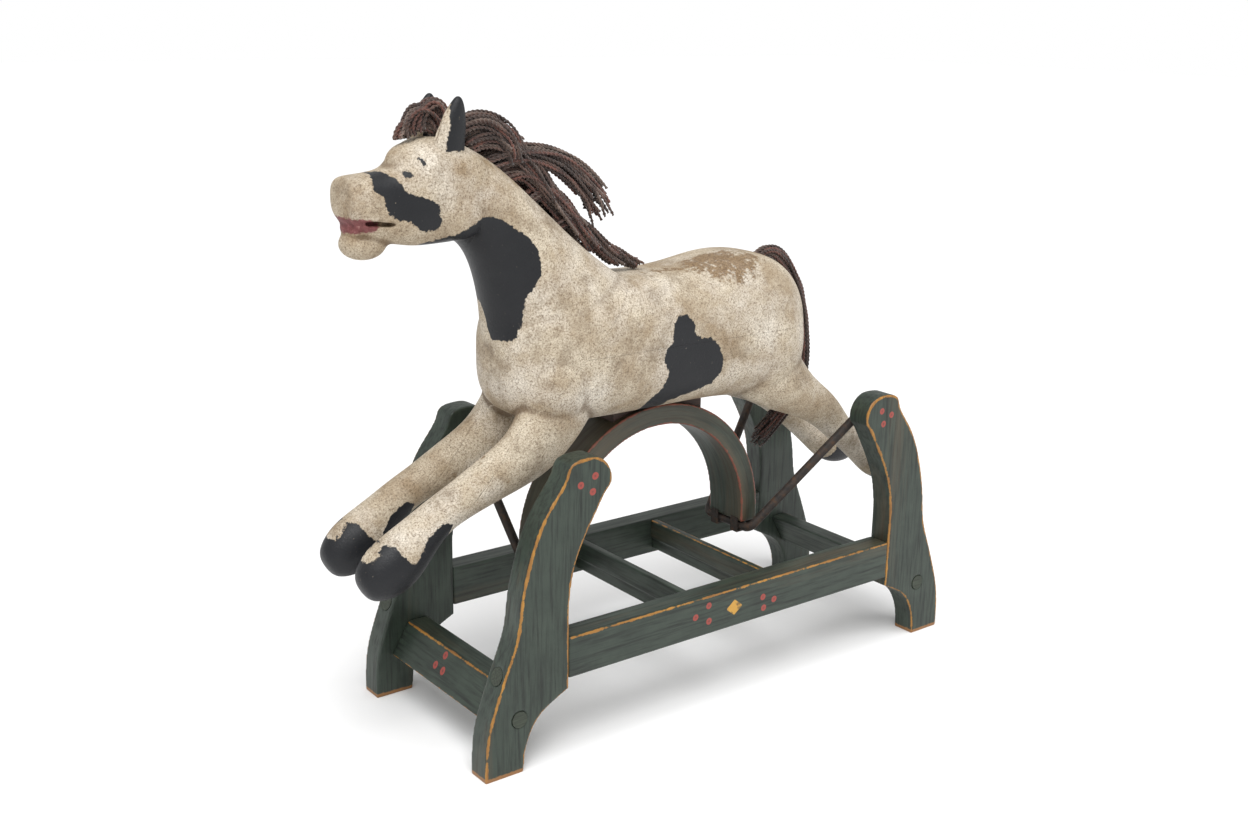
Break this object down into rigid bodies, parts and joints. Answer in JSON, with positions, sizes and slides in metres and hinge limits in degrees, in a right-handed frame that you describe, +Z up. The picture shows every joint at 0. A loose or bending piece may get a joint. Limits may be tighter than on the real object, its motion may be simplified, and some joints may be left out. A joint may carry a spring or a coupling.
{
  "type": "rocking horse",
  "caption": "Carved and painted wooden rocking horse on a wooden hoop, hung by two bent iron rods in a low green trestle stand.",
  "frame": {"origin": "on the floor, under the middle of the whole toy's bounding box", "axes": "+Z up, +X towards the tail (the horse faces -X), +Y towards the horse's right side"},
  "size_m": [0.9181, 0.3068, 0.797],
  "materials": {
    "green_paint": "old dark green oil paint over wood, worn to ochre along the edges",
    "cream_paint": "crazed and dirty cream paint on carved wood, with black patches and hooves",
    "black_paint": "worn black paint on carved wood",
    "bare_wood": "dark reddish bare wood",
    "plug_wood": "painted-over end-grain wood plug",
    "rusty_iron": "dark rusted wrought iron",
    "steel_screw": "dulled steel",
    "yarn": "brown twisted wool yarn"
  },
  "bodies": {
    "stand": {"pivot_bushes": "bare_wood", "post_front_left": "green_paint", "post_front_right": "green_paint", "post_rear_left": "green_paint", "post_rear_right": "green_paint", "rail_left": "green_paint", "rail_plugs": "plug_wood", "rail_right": "green_paint", "rail_screws": "steel_screw", "slat_front": "green_paint", "slat_rear": "green_paint", "stretcher_front": "green_paint", "stretcher_plugs": "plug_wood", "stretcher_rear": "green_paint", "stretcher_screws": "steel_screw"},
    "front_iron": {"swing_iron_front": "rusty_iron"},
    "rear_iron": {"swing_iron_rear": "rusty_iron"},
    "horse": {"body_lower_block": "cream_paint", "body_upper_block": "cream_paint", "ear_left": "black_paint", "ear_right": "black_paint", "forelock": "yarn", "head_block": "cream_paint", "hoop": "green_paint", "hoop_screws": "steel_screw", "leg_dowels": "bare_wood", "leg_front_left": "cream_paint", "leg_front_right": "cream_paint", "leg_hind_left": "cream_paint", "leg_hind_right": "cream_paint", "mane": "yarn", "neck_block": "cream_paint", "packing_block_front": "bare_wood", "packing_block_rear": "bare_wood", "strap_front": "rusty_iron", "strap_nails": "rusty_iron", "strap_rear": "rusty_iron", "tail": "yarn"}
  },
  "joints": [
    {"name": "front_swing", "type": "hinge", "parent": "stand", "child": "front_iron", "pos_m": [-0.21445, 0, 0.348], "axis": [0, -1, 0], "range_deg": [-12, 12]},
    {"name": "horse_pitch", "type": "hinge", "parent": "front_iron", "child": "horse", "pos_m": [-0.17345, 0, 0.184], "axis": [0, -1, 0], "range_deg": [-19.44, 19.44]},
    {"name": "rear_swing", "type": "hinge", "parent": "stand", "child": "rear_iron", "pos_m": [0.30055, 0, 0.348], "axis": [0, -1, 0], "range_deg": [-12.24, 12.24]}
  ],
  "couplings": [
    {"joint": "horse_pitch", "follows": "front_swing", "ratio": -1.5608},
    {"joint": "rear_swing", "follows": "front_swing", "ratio": 0.9984}
  ]
}
